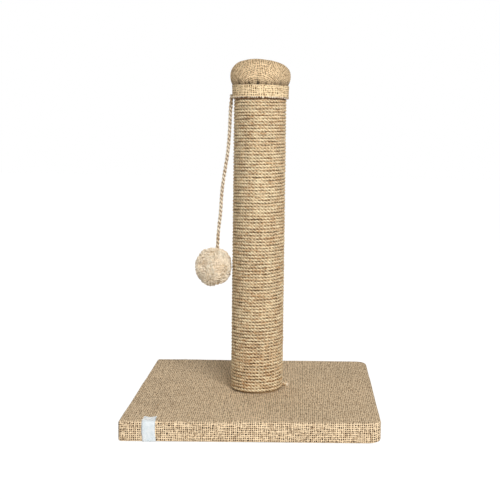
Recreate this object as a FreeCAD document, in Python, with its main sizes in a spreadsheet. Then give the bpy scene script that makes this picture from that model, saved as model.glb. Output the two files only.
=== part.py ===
# Cat scratching post, in millimetres.
#
# A square board wrapped in burlap carries a cardboard tube wound with jute rope. A padded burlap
# cap closes the tube, and a burlap band covers the cap's hem. A cord hangs from under the band at
# the left and holds a yarn ball. The origin is the centre of the base's underside, +Z is up, +X is
# to the right and the front faces -Y.

import FreeCAD
import Part
import math
import os
import Sketcher
from FreeCAD import Placement, Rotation, Vector
from types import SimpleNamespace

SIZES = [
    # name, value, what it is
    ("base_side", 300.0, "side of the square base, over its cloth"),
    ("board_thickness", 22.0, "chipboard of the base"),
    ("cloth_thickness", 0.75, "burlap of the base and the cap"),
    ("left_corner_radius", 4.0, "base corners on the left, in plan"),
    ("right_corner_radius", 16.0, "base corners on the right, in plan"),
    ("top_edge_radius", 3.0, "rounding along the base's top edge"),
    ("bottom_edge_chamfer", 1.9, "base's bottom edge, over its cloth"),
    ("board_chamfer", 1.5, "edges of the chipboard"),
    ("hem_width", 30.0, "burlap turned under the base, from its side"),
    ("hem_staple_inset", 18.0, "hem staples, from the base's side"),
    ("hem_staples_a_side", 6, "staples along each side of the hem"),
    ("label_width", 15.0, "ribbon label"),
    ("label_thickness", 0.35, "ribbon label"),
    ("label_reach", 19.0, "ribbon on the top of the base, from the front"),
    ("label_inset", 34.4, "ribbon's middle, from the base's left side"),
    ("label_foot", 0.5, "ribbon's lower end, above the floor"),
    ("tube_outer", 58.4, "outside diameter of the cardboard tube"),
    ("tube_wall", 4.0, "wall of the cardboard tube"),
    ("post_length", 386.5, "cardboard tube, end to end"),
    ("plug_thickness", 18.0, "wooden discs in the tube's ends"),
    ("plug_chamfer", 1.0, "edges of the wooden discs"),
    ("rope_diameter", 3.6, "jute rope, without its stray fibres"),
    ("rope_pitch", 4.03, "rise of the winding in a turn"),
    ("rope_turns", 8, "turns drawn one by one above the base"),
    ("rope_tail", 23.0, "loose end of the rope"),
    ("rope_start_angle", 32.0, "where the loose end leaves the post, in degrees from +X"),
    ("rope_sides", 6, "flats of the rope's section"),
    ("bolt_diameter", 8.0, "centre bolt"),
    ("bolt_length", 40.0, "centre bolt, under its head"),
    ("bolt_head_flats", 13.0, "centre bolt's hexagon, across its flats"),
    ("bolt_head_height", 5.3, "centre bolt's hexagon"),
    ("bolt_hole_clearance", 0.5, "round the bolt in the board, cloth and plug"),
    ("thread_clearance", 0.05, "round the bolt in the nut"),
    ("washer_diameter", 24.0, "washer under the bolt's head"),
    ("washer_thickness", 1.6, "washer under the bolt's head"),
    ("recess_diameter", 30.0, "counterbore for the bolt's head"),
    ("recess_depth", 8.0, "counterbore for the bolt's head"),
    ("nut_barrel", 10.6, "barrel of the pronged nut"),
    ("nut_length", 12.0, "barrel of the pronged nut, under its flange"),
    ("nut_flange", 22.0, "flange of the pronged nut"),
    ("nut_flange_thickness", 1.5, "flange of the pronged nut"),
    ("prong_length", 6.0, "prongs of the nut"),
    ("prong_width", 3.0, "prongs of the nut"),
    ("prong_count", 4, "prongs of the nut"),
    ("cap_radius", 38.3, "cap at its widest"),
    ("cap_height", 34.0, "cap above the tube's end"),
    ("cap_widest_height", 10.5, "widest part of the cap, above the tube's end"),
    ("crown_rise", 1.6, "rise of the cap's crown above its shoulders"),
    ("neck_radius", 35.6, "cap where it meets the band"),
    ("neck_height", 1.2, "cap's neck above the tube's end"),
    ("gathers", 18, "folds where the band draws the burlap in"),
    ("gather_depth", 0.9, "depth of those folds at the neck"),
    ("skirt_thickness", 1.3, "gathered burlap under the band"),
    ("skirt_length", 13.4, "gathered burlap, down from the tube's end"),
    ("band_height", 15.4, "burlap band"),
    ("band_top", 0.4, "band's upper edge above the tube's end"),
    ("band_thickness", 1.15, "burlap band at its lower edge"),
    ("band_flare", 0.6, "how far the band's upper edge stands out more"),
    ("lap_angle", 26.0, "lap of the band's two ends, in degrees"),
    ("lap_start_angle", -32.0, "where the lap begins, in degrees from +X"),
    ("lap_thickness", 0.8, "lap of the band's two ends"),
    ("cord_diameter", 4.2, "twisted cord of the toy"),
    ("cord_sides", 8, "flats of the cord's section"),
    ("cord_tab_width", 6.0, "flattened end of the cord under the band"),
    ("cord_tab_length", 11.0, "flattened end of the cord, above the band's lower edge"),
    ("ball_width", 47.0, "yarn ball"),
    ("ball_height", 49.0, "yarn ball"),
    ("ball_sides", 16, "flats round the yarn ball"),
    ("ball_drop", 215.0, "ball's centre below the band"),
    ("knot_diameter", 7.0, "cord's knot in the middle of the ball"),
    ("knot_length", 6.0, "cord's knot in the middle of the ball"),
    ("staple_width", 10.0, "crown of a staple"),
    ("staple_leg", 7.0, "leg of a staple"),
    ("staple_wire", 0.6, "wire of a staple"),
    ("tube_staples", 4, "staples round each end of the tube"),
    ("cap_staples", 8, "staples round the cap's skirt"),
    ("seat_gap", 0.1, "between pieces that lie on each other"),
    ("joint_gap", 0.3, "between pieces that move on each other"),
]

# The hanging cord's centre line, from where it leaves the band: how far it stands off the rope
# winding, and how far it lies below the band. Its first two bends are the places where it swings.
CORD_ROUTE = [
    (3.4, 3.6),
    (4.5, 15.0),
    (5.2, 40.0),
    (6.8, 66.5),
    (10.9, 93.0),
    (14.6, 119.5),
    (15.5, 145.5),
    (18.5, 171.0),
    (19.0, 190.5),
    (21.0, 206.5),
]

ARC_SHARE = 0.45  # of the shorter run, at each bend of the cord
TIP_ANGLE = math.radians(50)  # how far round its pivot a cord's end is rounded
CROWN_END = math.radians(85)  # where the cap's crown stops, 90 being its very top
DOME_STEPS = (2, 3, 2)  # flats up the cap's under-curve, its shoulder and its crown
SAMPLES_A_TURN = 240  # points round the rope's turns, to measure the gap between them
CLOSE = 1e-4  # heights that are taken as the same
FLAT = 1e-6  # lengths and volumes that are taken as none

doc = FreeCAD.newDocument("scratching_post")
nodes = []


class Size:
    """A length with its formula, so that one line both draws a shape and binds it to the sheet."""

    def __init__(self, formula, value):
        self.formula = formula
        self.value = value

    def _joined(self, sign, other, value):
        return Size(f"({self.formula} {sign} {other.formula})", value)

    def __add__(self, other):
        other = as_size(other)
        return self._joined("+", other, self.value + other.value)

    def __radd__(self, other):
        return as_size(other) + self

    def __sub__(self, other):
        other = as_size(other)
        return self._joined("-", other, self.value - other.value)

    def __rsub__(self, other):
        return as_size(other) - self

    def __mul__(self, other):
        other = as_size(other)
        return self._joined("*", other, self.value * other.value)

    def __rmul__(self, other):
        return as_size(other) * self

    def __truediv__(self, other):
        other = as_size(other)
        return self._joined("/", other, self.value / other.value)

    def __neg__(self):
        return 0.0 - self


def as_size(item):
    return item if isinstance(item, Size) else Size(str(float(item)), float(item))


def write_sheet():
    """The driving sizes as cells with aliases, and each as a Size of the same name."""
    sheet = doc.addObject("Spreadsheet::Sheet", "sizes")
    found = {}
    for row, (name, value, note) in enumerate(SIZES, 1):
        sheet.set(f"A{row}", note)
        sheet.set(f"B{row}", str(value))
        sheet.setAlias(f"B{row}", name)
        found[name] = Size(f"sizes.{name}", value)
    doc.recompute()
    return SimpleNamespace(**found)


s = write_sheet()

ZERO = as_size(0)
DOUBLE_GAP = 2 * s.seat_gap
HALF_BASE = s.base_side / 2
BOARD_TOP = s.cloth_thickness + s.board_thickness
BASE_TOP = BOARD_TOP + s.cloth_thickness
TUBE_END = BASE_TOP + s.post_length
TUBE_RADIUS = s.tube_outer / 2
BORE_RADIUS = TUBE_RADIUS - s.tube_wall
ROPE_INNER = TUBE_RADIUS + DOUBLE_GAP
ROPE_OUTER = ROPE_INNER + s.rope_diameter
SKIRT_INNER = ROPE_OUTER + s.seat_gap
SKIRT_OUTER = SKIRT_INNER + s.skirt_thickness
BAND_INNER = SKIRT_OUTER + s.seat_gap
BAND_TOP = TUBE_END + s.band_top
BAND_FOOT = BAND_TOP - s.band_height
BOLT_HOLE_RADIUS = s.bolt_diameter / 2 + s.bolt_hole_clearance
RECESS_TOP = s.cloth_thickness + s.recess_depth
WASHER_FOOT = RECESS_TOP - s.washer_thickness
PLUG_RADIUS = BORE_RADIUS - s.seat_gap
CORD_RADIUS = s.cord_diameter / 2
PIVOT_ROOM = CORD_RADIUS + s.joint_gap


# ---- drawing helpers ----

def bind(item, **sizes):
    """Bind properties of a document object; a double underscore in a name stands for a dot."""
    for name, size in sizes.items():
        item.setExpression(name.replace("__", "."), as_size(size).formula)
    return item


def node(item, name):
    """Take a finished object as one sub-part, under its own name."""
    item.Label = name
    nodes.append(item)
    return item


def new_body(name):
    return doc.addObject("PartDesign::Body", name)


def origin_feature(body, role):
    return next(feature for feature in body.Origin.OriginFeatures if feature.Role == role)


def new_sketch(body, name, plane, offset=ZERO):
    sketch = body.newObject("Sketcher::SketchObject", name)
    sketch.AttachmentSupport = [(origin_feature(body, plane), "")]
    sketch.MapMode = "FlatFace"
    sketch.setExpression("AttachmentOffset.Base.z", offset.formula)
    return sketch


def rule(sketch, kind, *arguments, size=None):
    """Add a constraint; with a size, bind it to the sheet."""
    if size is None:
        sketch.addConstraint(Sketcher.Constraint(kind, *arguments))
        return
    number = sketch.addConstraint(Sketcher.Constraint(kind, *arguments, size.value))
    sketch.setExpression(f"Constraints[{number}]", size.formula)


def pin(sketch, point, place):
    """Hold a point of a sketch, given as its edge and which end, at a place."""
    rule(sketch, "DistanceX", -1, 1, *point, size=as_size(place[0]))
    rule(sketch, "DistanceY", -1, 1, *point, size=as_size(place[1]))


def at(place):
    return Vector(as_size(place[0]).value, as_size(place[1]).value, 0)


def draw_polygon(sketch, places):
    """Straight edges through places and back to the first, each corner held at its place."""
    count = len(places)
    first = None
    for number, here in enumerate(places):
        there = places[(number + 1) % count]
        edge = sketch.addGeometry(Part.LineSegment(at(here), at(there)), False)
        if first is None:
            first = edge
        else:
            rule(sketch, "Coincident", edge - 1, 2, edge, 1)
        pin(sketch, (edge, 1), here)
    rule(sketch, "Coincident", edge, 2, first, 1)


def draw_circle(sketch, radius):
    edge = sketch.addGeometry(Part.Circle(Vector(), Vector(0, 0, 1), radius.value), False)
    rule(sketch, "Coincident", edge, 3, -1, 1)
    rule(sketch, "Radius", edge, size=radius)


def pad(body, sketch, length, name="pad"):
    feature = body.newObject("PartDesign::Pad", f"{body.Name}_{name}")
    feature.Profile = sketch
    bind(feature, Length=length)
    return feature


def cut_up(body, sketch, length, name):
    """A pocket that rises from its sketch."""
    feature = body.newObject("PartDesign::Pocket", f"{body.Name}_{name}")
    feature.Profile = sketch
    feature.Reversed = True
    bind(feature, Length=length)
    return feature


def spin(body, sketch):
    feature = body.newObject("PartDesign::Revolution", f"{body.Name}_spin")
    feature.Profile = sketch
    feature.ReferenceAxis = (sketch, ["V_Axis"])
    feature.Angle = 360
    return feature


def edges_of(shape, wanted):
    return [f"Edge{number}" for number, edge in enumerate(shape.Edges, 1) if wanted(edge)]


def dress(kind, base, wanted, size, name):
    """Fillet or chamfer the edges of a body's last feature that are wanted."""
    doc.recompute()
    body = base.getParentGeoFeatureGroup()
    feature = body.newObject(f"PartDesign::{kind}", f"{body.Name}_{name}")
    feature.Base = (base, edges_of(base.Shape, wanted))
    bind(feature, **{"Radius" if kind == "Fillet" else "Size": size})
    return feature


def is_upright(edge):
    return edge.BoundBox.ZLength > edge.BoundBox.XLength + edge.BoundBox.YLength


def is_level(height):
    def wanted(edge):
        box = edge.BoundBox
        return abs(box.ZMin - height) < CLOSE and abs(box.ZMax - height) < CLOSE

    return wanted


def slab(name, inset, foot, top, upper_edge, upper_size, lower_size):
    """A square slab inset from the base's outside; upper_edge says Fillet or Chamfer."""
    half = HALF_BASE - inset
    body = new_body(name)
    outline = new_sketch(body, f"{name}_outline", "XY_Plane", foot)
    draw_polygon(outline, [(-half, -half), (half, -half), (half, half), (-half, half)])
    block = pad(body, outline, top - foot)
    left = dress("Fillet", block, lambda edge: is_upright(edge) and edge.BoundBox.XMax < 0,
                 s.left_corner_radius - inset, "left_corners")
    near_right = half.value - s.left_corner_radius.value / 2
    right = dress("Fillet", left, lambda edge: is_upright(edge) and edge.BoundBox.XMin > near_right,
                  s.right_corner_radius - inset, "right_corners")
    upper = dress(upper_edge, right, is_level(top.value), upper_size, "top_edge")
    dress("Chamfer", upper, is_level(foot.value), lower_size, "bottom_edge")
    return body


def cloth_slab(name, inset, foot, top):
    """A slab as the burlap rounds it."""
    shrink = 2 - math.sqrt(2)  # of a chamfer, for each millimetre that its faces move in
    return slab(name, inset, foot, top, "Fillet", s.top_edge_radius - inset,
                s.bottom_edge_chamfer - inset * shrink)


def board_slab(name):
    """A slab of the chipboard's own size."""
    return slab(name, s.cloth_thickness, s.cloth_thickness, BOARD_TOP, "Chamfer", s.board_chamfer,
                s.board_chamfer)


def ring(name, outer, inner, foot, height):
    """A round tube or washer on the post's axis."""
    body = new_body(name)
    section = new_sketch(body, f"{name}_section", "XY_Plane", foot)
    draw_circle(section, outer)
    draw_circle(section, inner)
    pad(body, section, height)
    return body


def cylinder(name, radius, height, foot):
    rod = doc.addObject("Part::Cylinder", name)
    return bind(rod, Radius=radius, Height=height, Placement__Base__z=foot)


def box(name, low, high):
    block = doc.addObject("Part::Box", name)
    low, high = [as_size(size) for size in low], [as_size(size) for size in high]
    bind(block, Length=high[0] - low[0], Width=high[1] - low[1], Height=high[2] - low[2])
    return bind(block, Placement__Base__x=low[0], Placement__Base__y=low[1], Placement__Base__z=low[2])


def cut(name, base, tool):
    result = doc.addObject("Part::Cut", name)
    result.Base = base
    result.Tool = tool
    return result


def common(name, base, tool):
    result = doc.addObject("Part::Common", name)
    result.Base = base
    result.Tool = tool
    return result


def fuse(name, *shapes):
    result = doc.addObject("Part::MultiFuse", name)
    result.Shapes = list(shapes)
    result.Refine = True
    return result


def solid(name, shape):
    result = doc.addObject("Part::Feature", name)
    result.Shape = shape
    return result


# ---- base ----

def base_board():
    """The chipboard, with the bolt's hole and the counterbore for its head."""
    body = board_slab("base_board")
    for name, radius, depth in (
        ("recess", s.recess_diameter / 2, s.recess_depth),
        ("bolt_hole", BOLT_HOLE_RADIUS, s.board_thickness),
    ):
        circle = new_sketch(body, f"board_{name}", "XY_Plane", s.cloth_thickness)
        draw_circle(circle, radius)
        cut_up(body, circle, depth, name)
    node(body, "base_board")


def base_cover():
    """The burlap over the board's top and sides, turned under it as a hem."""
    outside = cloth_slab("cover_outside", ZERO, ZERO, BASE_TOP)
    inside = board_slab("cover_inside")
    window_half = HALF_BASE - s.hem_width
    window = box("cover_window", (-window_half, -window_half, -s.cloth_thickness),
                 (window_half, window_half, BOARD_TOP / 2))
    bolt_hole = cylinder("cover_bolt_hole", BOLT_HOLE_RADIUS, BASE_TOP, s.cloth_thickness)
    node(cut("base_cloth", outside, fuse("cover_openings", inside, window, bolt_hole)), "base_cover")


def side_label():
    """A plain ribbon folded over the base's front edge, on the cloth."""
    near = cloth_slab("label_inside", -s.seat_gap, -s.seat_gap, BASE_TOP + s.seat_gap)
    far_gap = s.seat_gap + s.label_thickness
    far = cloth_slab("label_outside", -far_gap, -far_gap, BASE_TOP + far_gap)
    left = s.label_inset - HALF_BASE - s.label_width / 2
    reach = box("label_reach_box", (left, -HALF_BASE - 2 * far_gap, s.label_foot),
                (left + s.label_width, s.label_reach - HALF_BASE, BASE_TOP + 2 * far_gap))
    node(common("label_ribbon", reach, cut("label_skin", far, near)), "side_label")


def staple():
    """One wire staple: its crown along X at the origin's height, its legs down."""
    half = s.staple_width.value / 2
    wire = s.staple_wire.value
    leg = s.staple_leg.value
    outline = [(-half, 0), (half, 0), (half, -leg), (half - wire, -leg), (half - wire, -wire),
               (wire - half, -wire), (wire - half, -leg), (-half, -leg), (-half, 0)]
    face = Part.Face(Part.makePolygon([Vector(x, -wire / 2, z) for x, z in outline]))
    return face.extrude(Vector(0, wire, 0))


def placed(shape, turn, place):
    copy = shape.copy()
    copy.Placement = Placement(place, turn)
    return copy


def hem_staples():
    """Staples through the hem into the board, their crowns pressed into the cloth."""
    inset = HALF_BASE.value - s.hem_staple_inset.value
    count = int(s.hem_staples_a_side.value)
    step = 2 * inset / count
    point_up = Rotation(Vector(1, 0, 0), 180)
    one = staple()
    copies = []
    for side in range(4):
        turn = Rotation(Vector(0, 0, 1), 90 * side)
        for number in range(count):
            along = -inset + step * (number + 0.5)
            place = turn.multVec(Vector(along, -inset, s.seat_gap.value))
            copies.append(placed(one, turn.multiply(point_up), place))
    node(solid("hem_wires", Part.makeCompound(copies)), "hem_staples")


# ---- post ----

def post_tube():
    node(ring("post_tube", TUBE_RADIUS, BORE_RADIUS, BASE_TOP, s.post_length), "post_tube")


def foot_plug():
    """The wooden disc that takes the nut, with the edge that enters the tube first chamfered."""
    bore = s.nut_barrel / 2 + s.seat_gap
    top = BASE_TOP + s.plug_thickness
    body = new_body("foot_plug")
    profile = new_sketch(body, "foot_plug_profile", "XZ_Plane")
    draw_polygon(profile, [
        (bore, BASE_TOP),
        (PLUG_RADIUS, BASE_TOP),
        (PLUG_RADIUS, top - s.plug_chamfer),
        (PLUG_RADIUS - s.plug_chamfer, top),
        (bore, top),
    ])
    spin(body, profile)
    node(body, "foot_plug")


def head_plug():
    """The plain wooden disc under the cap."""
    disc = cylinder("head_disc", PLUG_RADIUS, s.plug_thickness, TUBE_END - s.plug_thickness)
    node(disc, "head_plug")


def nut():
    """The pronged nut, driven into the foot plug from above, so that the bolt pulls it home."""
    seat = BASE_TOP + s.plug_thickness
    bore = s.bolt_diameter / 2 + s.thread_clearance
    body = new_body("insert_nut")
    profile = new_sketch(body, "nut_profile", "XZ_Plane")
    draw_polygon(profile, [
        (bore, seat - s.nut_length),
        (s.nut_barrel / 2, seat - s.nut_length),
        (s.nut_barrel / 2, seat),
        (s.nut_flange / 2, seat),
        (s.nut_flange / 2, seat + s.nut_flange_thickness),
        (bore, seat + s.nut_flange_thickness),
    ])
    spin(body, profile)
    rim = s.nut_flange / 2 - s.nut_flange_thickness / 2
    prong = new_sketch(body, "nut_prong", "XY_Plane", seat - s.prong_length)
    draw_polygon(prong, [
        (rim - s.nut_flange_thickness, -s.prong_width / 2),
        (rim, -s.prong_width / 2),
        (rim, s.prong_width / 2),
        (rim - s.nut_flange_thickness, s.prong_width / 2),
    ])
    first = pad(body, prong, s.prong_length + s.nut_flange_thickness / 2)
    doc.recompute()
    prongs = body.newObject("PartDesign::PolarPattern", "nut_prongs")
    prongs.Originals = [first]
    prongs.Axis = (origin_feature(body, "Z_Axis"), [""])
    prongs.Angle = 360
    bind(prongs, Occurrences=s.prong_count)
    body.Tip = prongs
    node(body, "insert_nut")


def bolt_and_washer():
    """The bolt that holds the post, its head and washer in the board's counterbore."""
    head = doc.addObject("Part::Prism", "bolt_head")
    head.Polygon = 6
    bind(head, Circumradius=s.bolt_head_flats / math.sqrt(3), Height=s.bolt_head_height,
         Placement__Base__z=WASHER_FOOT - s.bolt_head_height)
    shank = cylinder("bolt_shank", s.bolt_diameter / 2, s.bolt_length, WASHER_FOOT)
    node(fuse("bolt", head, shank), "centre_bolt")
    node(ring("bolt_washer", s.washer_diameter / 2, BOLT_HOLE_RADIUS, WASHER_FOOT,
              s.washer_thickness), "bolt_washer")


def round_staples(name, count, radius, height):
    """Staples driven towards the axis, their crowns flush with a round surface."""
    point_in = Rotation(Vector(0, 1, 0), 90)
    one = staple()
    copies = []
    for number in range(int(count.value)):
        turn = Rotation(Vector(0, 0, 1), 360 * (number + 0.5) / count.value)
        place = turn.multVec(Vector(radius.value, 0, height.value))
        copies.append(placed(one, turn.multiply(point_in), place))
    node(solid(f"{name}_wires", Part.makeCompound(copies)), name)


# ---- rope winding ----

def arc_through(start, corner, end):
    """The arc that touches start-corner at start and corner-end at end."""
    weight = (end - start).Length / (2 * (corner - start).Length)
    middle = (start + corner * (2 * weight) + end) * (1 / (2 + 2 * weight))
    return Part.Arc(start, middle, end).toShape()


def biarc(start, start_way, end, end_way):
    """Two arcs that join end to end, with the given directions at both ends."""
    chord = end - start
    ways = start_way + end_way
    spread = 2 * (1 - start_way.dot(end_way))
    along = chord.dot(ways)
    reach = (math.sqrt(along ** 2 + spread * chord.dot(chord)) - along) / spread
    corners = (start + start_way * reach, end - end_way * reach)
    middle = (corners[0] + corners[1]) * 0.5
    return [arc_through(start, corners[0], middle), arc_through(middle, corners[1], end)]


def rope_path():
    """The rope's centre line: its loose end, then quarter turns that climb the tube."""
    radius = ROPE_INNER.value + s.rope_diameter.value / 2
    climb = s.rope_pitch.value / math.tau
    tail = s.rope_tail.value
    foot = BASE_TOP.value + s.seat_gap.value + s.rope_diameter.value / 2 + tail * climb / radius
    begin = math.radians(s.rope_start_angle.value)

    def place(turned):
        angle = begin + turned
        return Vector(radius * math.cos(angle), radius * math.sin(angle), foot + climb * turned)

    def way(turned):
        angle = begin + turned
        return Vector(-radius * math.sin(angle), radius * math.cos(angle), climb).normalize()

    turns = [quarter * math.pi / 2 for quarter in range(4 * int(s.rope_turns.value) + 1)]
    end = s.rope_diameter.value
    edges = [Part.LineSegment(place(0) - way(0) * tail, place(0)).toShape()]
    for here, there in zip(turns, turns[1:]):
        edges += biarc(place(here), way(here), place(there), way(there))
    last = turns[-1]
    edges.append(Part.LineSegment(place(last), place(last) + way(last) * end).toShape())
    return Part.Wire(edges)


def least_gap(path, diameter, loop):
    """The least distance between the surfaces of turns that lie side by side, on points."""
    quarter = SAMPLES_A_TURN // 4
    samples = path.discretize(Number=int(path.Length / loop * SAMPLES_A_TURN))
    nearest = min((samples[here] - samples[there]).Length
                  for here in range(len(samples))
                  for there in range(here + 3 * quarter, min(here + 5 * quarter, len(samples))))
    return nearest - diameter


def tube_along(path, section):
    """Sweep a closed section along a path and compare the volume with area times length."""
    swept = path.makePipeShell([section], True, False)
    expected = Part.Face(section).Area * path.Length
    return swept, swept.Volume / expected


def ring_across(centre, way, radius, sides):
    """The corners of a regular polygon square to a direction."""
    upright = Vector(0, 0, 1).cross(way).Length < FLAT
    level = Vector(1, 0, 0) if upright else Vector(0, 0, 1).cross(way).normalize()
    rise = way.cross(level)
    corners = []
    for number in range(sides):
        angle = math.tau * number / sides
        corners.append(centre + level * (radius * math.cos(angle)) + rise * (radius * math.sin(angle)))
    return corners


def closed(corners):
    return Part.makePolygon(corners + corners[:1])


def flat_faces(corners):
    """One face through four corners, or two triangles where they lie twisted."""
    first, second, third, fourth = corners
    twist = (second - first).cross(third - first).dot(fourth - first)
    if abs(twist) < FLAT:
        return [Part.Face(closed(corners))]
    return [Part.Face(closed([first, second, third])), Part.Face(closed([first, third, fourth]))]


def faceted(rings):
    """A closed solid of flat faces through rings that have as many corners each."""
    faces = [Part.Face(closed(rings[0])), Part.Face(closed(rings[-1]))]
    count = len(rings[0])
    for lower, upper in zip(rings, rings[1:]):
        for here in range(count):
            there = (here + 1) % count
            faces += flat_faces([lower[here], lower[there], upper[there], upper[here]])
    return Part.makeSolid(Part.makeShell(faces))


def start_of(path):
    edge = path.OrderedEdges[0]
    return edge.valueAt(edge.FirstParameter), edge.tangentAt(edge.FirstParameter)


def rope_winding():
    """The lowest turns as one unbroken rope, and the packed turns above them as their outline."""
    path = rope_path()
    diameter = s.rope_diameter.value
    section = closed(ring_across(*start_of(path), diameter / 2, int(s.rope_sides.value)))
    turns, match = tube_along(path, section)
    gap = least_gap(path, diameter, math.tau * ROPE_OUTER.value)
    print(f"rope: {path.Length:.0f} mm drawn, least gap {gap:.2f} mm, volume match {match:.4f}")
    climbed = s.rope_pitch * s.rope_turns + s.rope_tail * s.rope_pitch / (math.tau * ROPE_INNER)
    foot = BASE_TOP + s.rope_diameter + DOUBLE_GAP + climbed + s.joint_gap
    packed = ring("rope_packed", ROPE_OUTER, ROPE_INNER, foot, TUBE_END - DOUBLE_GAP - foot)
    winding = doc.addObject("Part::Compound", "rope")
    winding.Links = [solid("rope_turns_drawn", turns), packed]
    node(winding, "rope_winding")


# ---- cap ----

def dome_outline(inset):
    """The cap's outline from its neck to its crown, as radius and height, a set depth inside it.

    An under-curve leads from the neck to the widest part, a shoulder from there to the crown, and
    a flatter arc that touches the shoulder makes the crown.
    """
    widest = s.cap_widest_height.value
    rise = s.cap_height.value - widest
    shoulder = rise - s.crown_rise.value
    shoulder_x = s.cap_radius.value - shoulder
    crown = (shoulder_x ** 2 + rise ** 2 - shoulder ** 2) / (2 * s.crown_rise.value)
    out = s.cap_radius.value - s.neck_radius.value
    up = widest - s.neck_height.value
    under = (out ** 2 + up ** 2) / (2 * out)
    neck = -math.asin(up / under)
    lean = math.atan2(crown - rise, shoulder_x)
    arcs = [
        (s.cap_radius.value - under, widest, under, neck, 0),
        (shoulder_x, widest, shoulder, 0, lean),
        (0, widest + rise - crown, crown, lean, CROWN_END),
    ]
    outline = []
    for (centre_x, centre_z, radius, begin, end), steps in zip(arcs, DOME_STEPS):
        for step in range(len(outline) > 0, steps + 1):
            angle = begin + (end - begin) * step / steps
            reach = radius - inset.value
            outline.append((centre_x + reach * math.cos(angle),
                            TUBE_END.value + centre_z + reach * math.sin(angle)))
    return outline


def gathered(outline, folds, depth):
    """A closed solid through many-sided rings; its folds are deepest at the lowest ring of the dome."""
    neck_height = TUBE_END.value + s.neck_height.value
    widest = TUBE_END.value + s.cap_widest_height.value
    rings = []
    for radius, height in outline:
        fade = max(0.0, min(1.0, (widest - height) / (widest - neck_height)))
        inward = depth * fade if height >= neck_height - CLOSE else 0
        corners = []
        for number in range(2 * folds):
            angle = math.pi * number / folds
            reach = radius - inward * (number % 2)
            corners.append(Vector(reach * math.cos(angle), reach * math.sin(angle), height))
        rings.append(corners)
    return faceted(rings)


def cap_pad():
    """The foam dome on the tube's end."""
    inset = s.cloth_thickness + s.seat_gap
    depth = s.gather_depth.value
    outline = dome_outline(inset + s.gather_depth / 2)
    rim = (ROPE_OUTER - s.seat_gap).value
    foot = (TUBE_END + s.seat_gap).value
    folds = int(s.gathers.value)
    node(solid("pad_foam", gathered([(rim - depth, foot)] + outline, folds, depth / 2)), "cap_pad")


def cap_cover():
    """The burlap over the dome, gathered into a skirt round the top turns of the rope."""
    folds = int(s.gathers.value)
    depth = s.gather_depth.value
    round_inside = math.cos(math.pi / (2 * folds))
    skirt_foot = TUBE_END - s.skirt_length
    skirt_top = BAND_TOP + DOUBLE_GAP
    outer = [(SKIRT_OUTER.value, skirt_foot.value), (SKIRT_OUTER.value, skirt_top.value)]
    inner_radius = SKIRT_INNER.value / round_inside
    inner = [(inner_radius, skirt_foot.value), (inner_radius, (TUBE_END + s.seat_gap).value)]
    outside = solid("cap_outside", gathered(outer + dome_outline(ZERO), folds, depth))
    inside = solid("cap_inside", gathered(inner + dome_outline(s.cloth_thickness), folds, depth))
    half = s.cord_tab_width / 2 + DOUBLE_GAP
    slit = box("cord_slit", (-BAND_INNER, -half, skirt_foot - s.band_height),
               (-TUBE_RADIUS, half, BAND_FOOT + s.cord_tab_length + DOUBLE_GAP))
    node(cut("cap_cloth", outside, fuse("cap_openings", inside, slit)), "cap_cover")


def cap_band():
    """The burlap band over the cap's skirt, with its two ends lapped at the right."""
    outer = BAND_INNER + s.band_thickness
    body = new_body("band_strip")
    profile = new_sketch(body, "band_profile", "XZ_Plane")
    draw_polygon(profile, [
        (BAND_INNER, BAND_FOOT),
        (outer, BAND_FOOT),
        (outer + s.band_flare, BAND_TOP),
        (BAND_INNER, BAND_TOP),
    ])
    spin(body, profile)
    lap = cylinder("band_lap_outside", outer + s.lap_thickness, s.band_height, BAND_FOOT)
    bind(lap, Angle=s.lap_angle, Placement__Rotation__Yaw=s.lap_start_angle)
    core = cylinder("band_lap_inside", BAND_INNER, s.band_height, BAND_FOOT)
    node(fuse("band_lapped", body, cut("band_lap", lap, core)), "cap_band")


# ---- toy ----

def hanging(stand_off, drop):
    """A place on the cord, from how far it stands off the winding and lies below the band."""
    return Vector(-ROPE_OUTER.value - stand_off, 0, BAND_FOOT.value - drop)


def bent_path(points):
    """Straight runs joined by tangent arcs as large as the runs allow; prints their radii."""
    edges = []
    radii = []
    here = points[0]
    for before, corner, after in zip(points, points[1:], points[2:]):
        way_in = (corner - before).normalize()
        way_out = (after - corner).normalize()
        half_turn = way_in.getAngle(way_out) / 2
        back = ARC_SHARE * min((corner - before).Length, (after - corner).Length)
        start = corner - way_in * back
        edges.append(Part.LineSegment(here, start).toShape())
        here = corner + way_out * back
        edges.append(arc_through(start, corner, here))
        radii.append(back / math.tan(half_turn))
    edges.append(Part.LineSegment(here, points[-1]).toShape())
    print("cord radii, mm: " + " ".join(f"{radius:.0f}" for radius in radii))
    return Part.Wire(edges)


def cord_end():
    """The cord's fixed end: flat under the band, in a slit of the skirt, then round below it."""
    standing_off = CORD_ROUTE[0][0]
    foot = BAND_FOOT - (as_size(CORD_ROUTE[0][1]) - PIVOT_ROOM)
    axis_x = -ROPE_OUTER - standing_off
    stub = cylinder("cord_stub", CORD_RADIUS, BAND_FOOT - foot, foot)
    bind(stub, Placement__Base__x=axis_x)
    ledge = BAND_FOOT - DOUBLE_GAP
    around = ring("cord_tab_ring", SKIRT_OUTER, SKIRT_INNER + s.seat_gap, foot,
                  BAND_FOOT + s.cord_tab_length - foot)
    half = s.cord_tab_width / 2
    front = box("cord_tab_box", (-BAND_INNER, -half, foot), (-TUBE_RADIUS, half, TUBE_END))
    bridge = box("cord_bridge", (axis_x, -CORD_RADIUS / 2, foot),
                 (-SKIRT_INNER - s.seat_gap, CORD_RADIUS / 2, ledge))
    tab = common("cord_tab", around, front)
    node(fuse("cord_end_whole", stub, bridge, tab), "cord_end")


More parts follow.
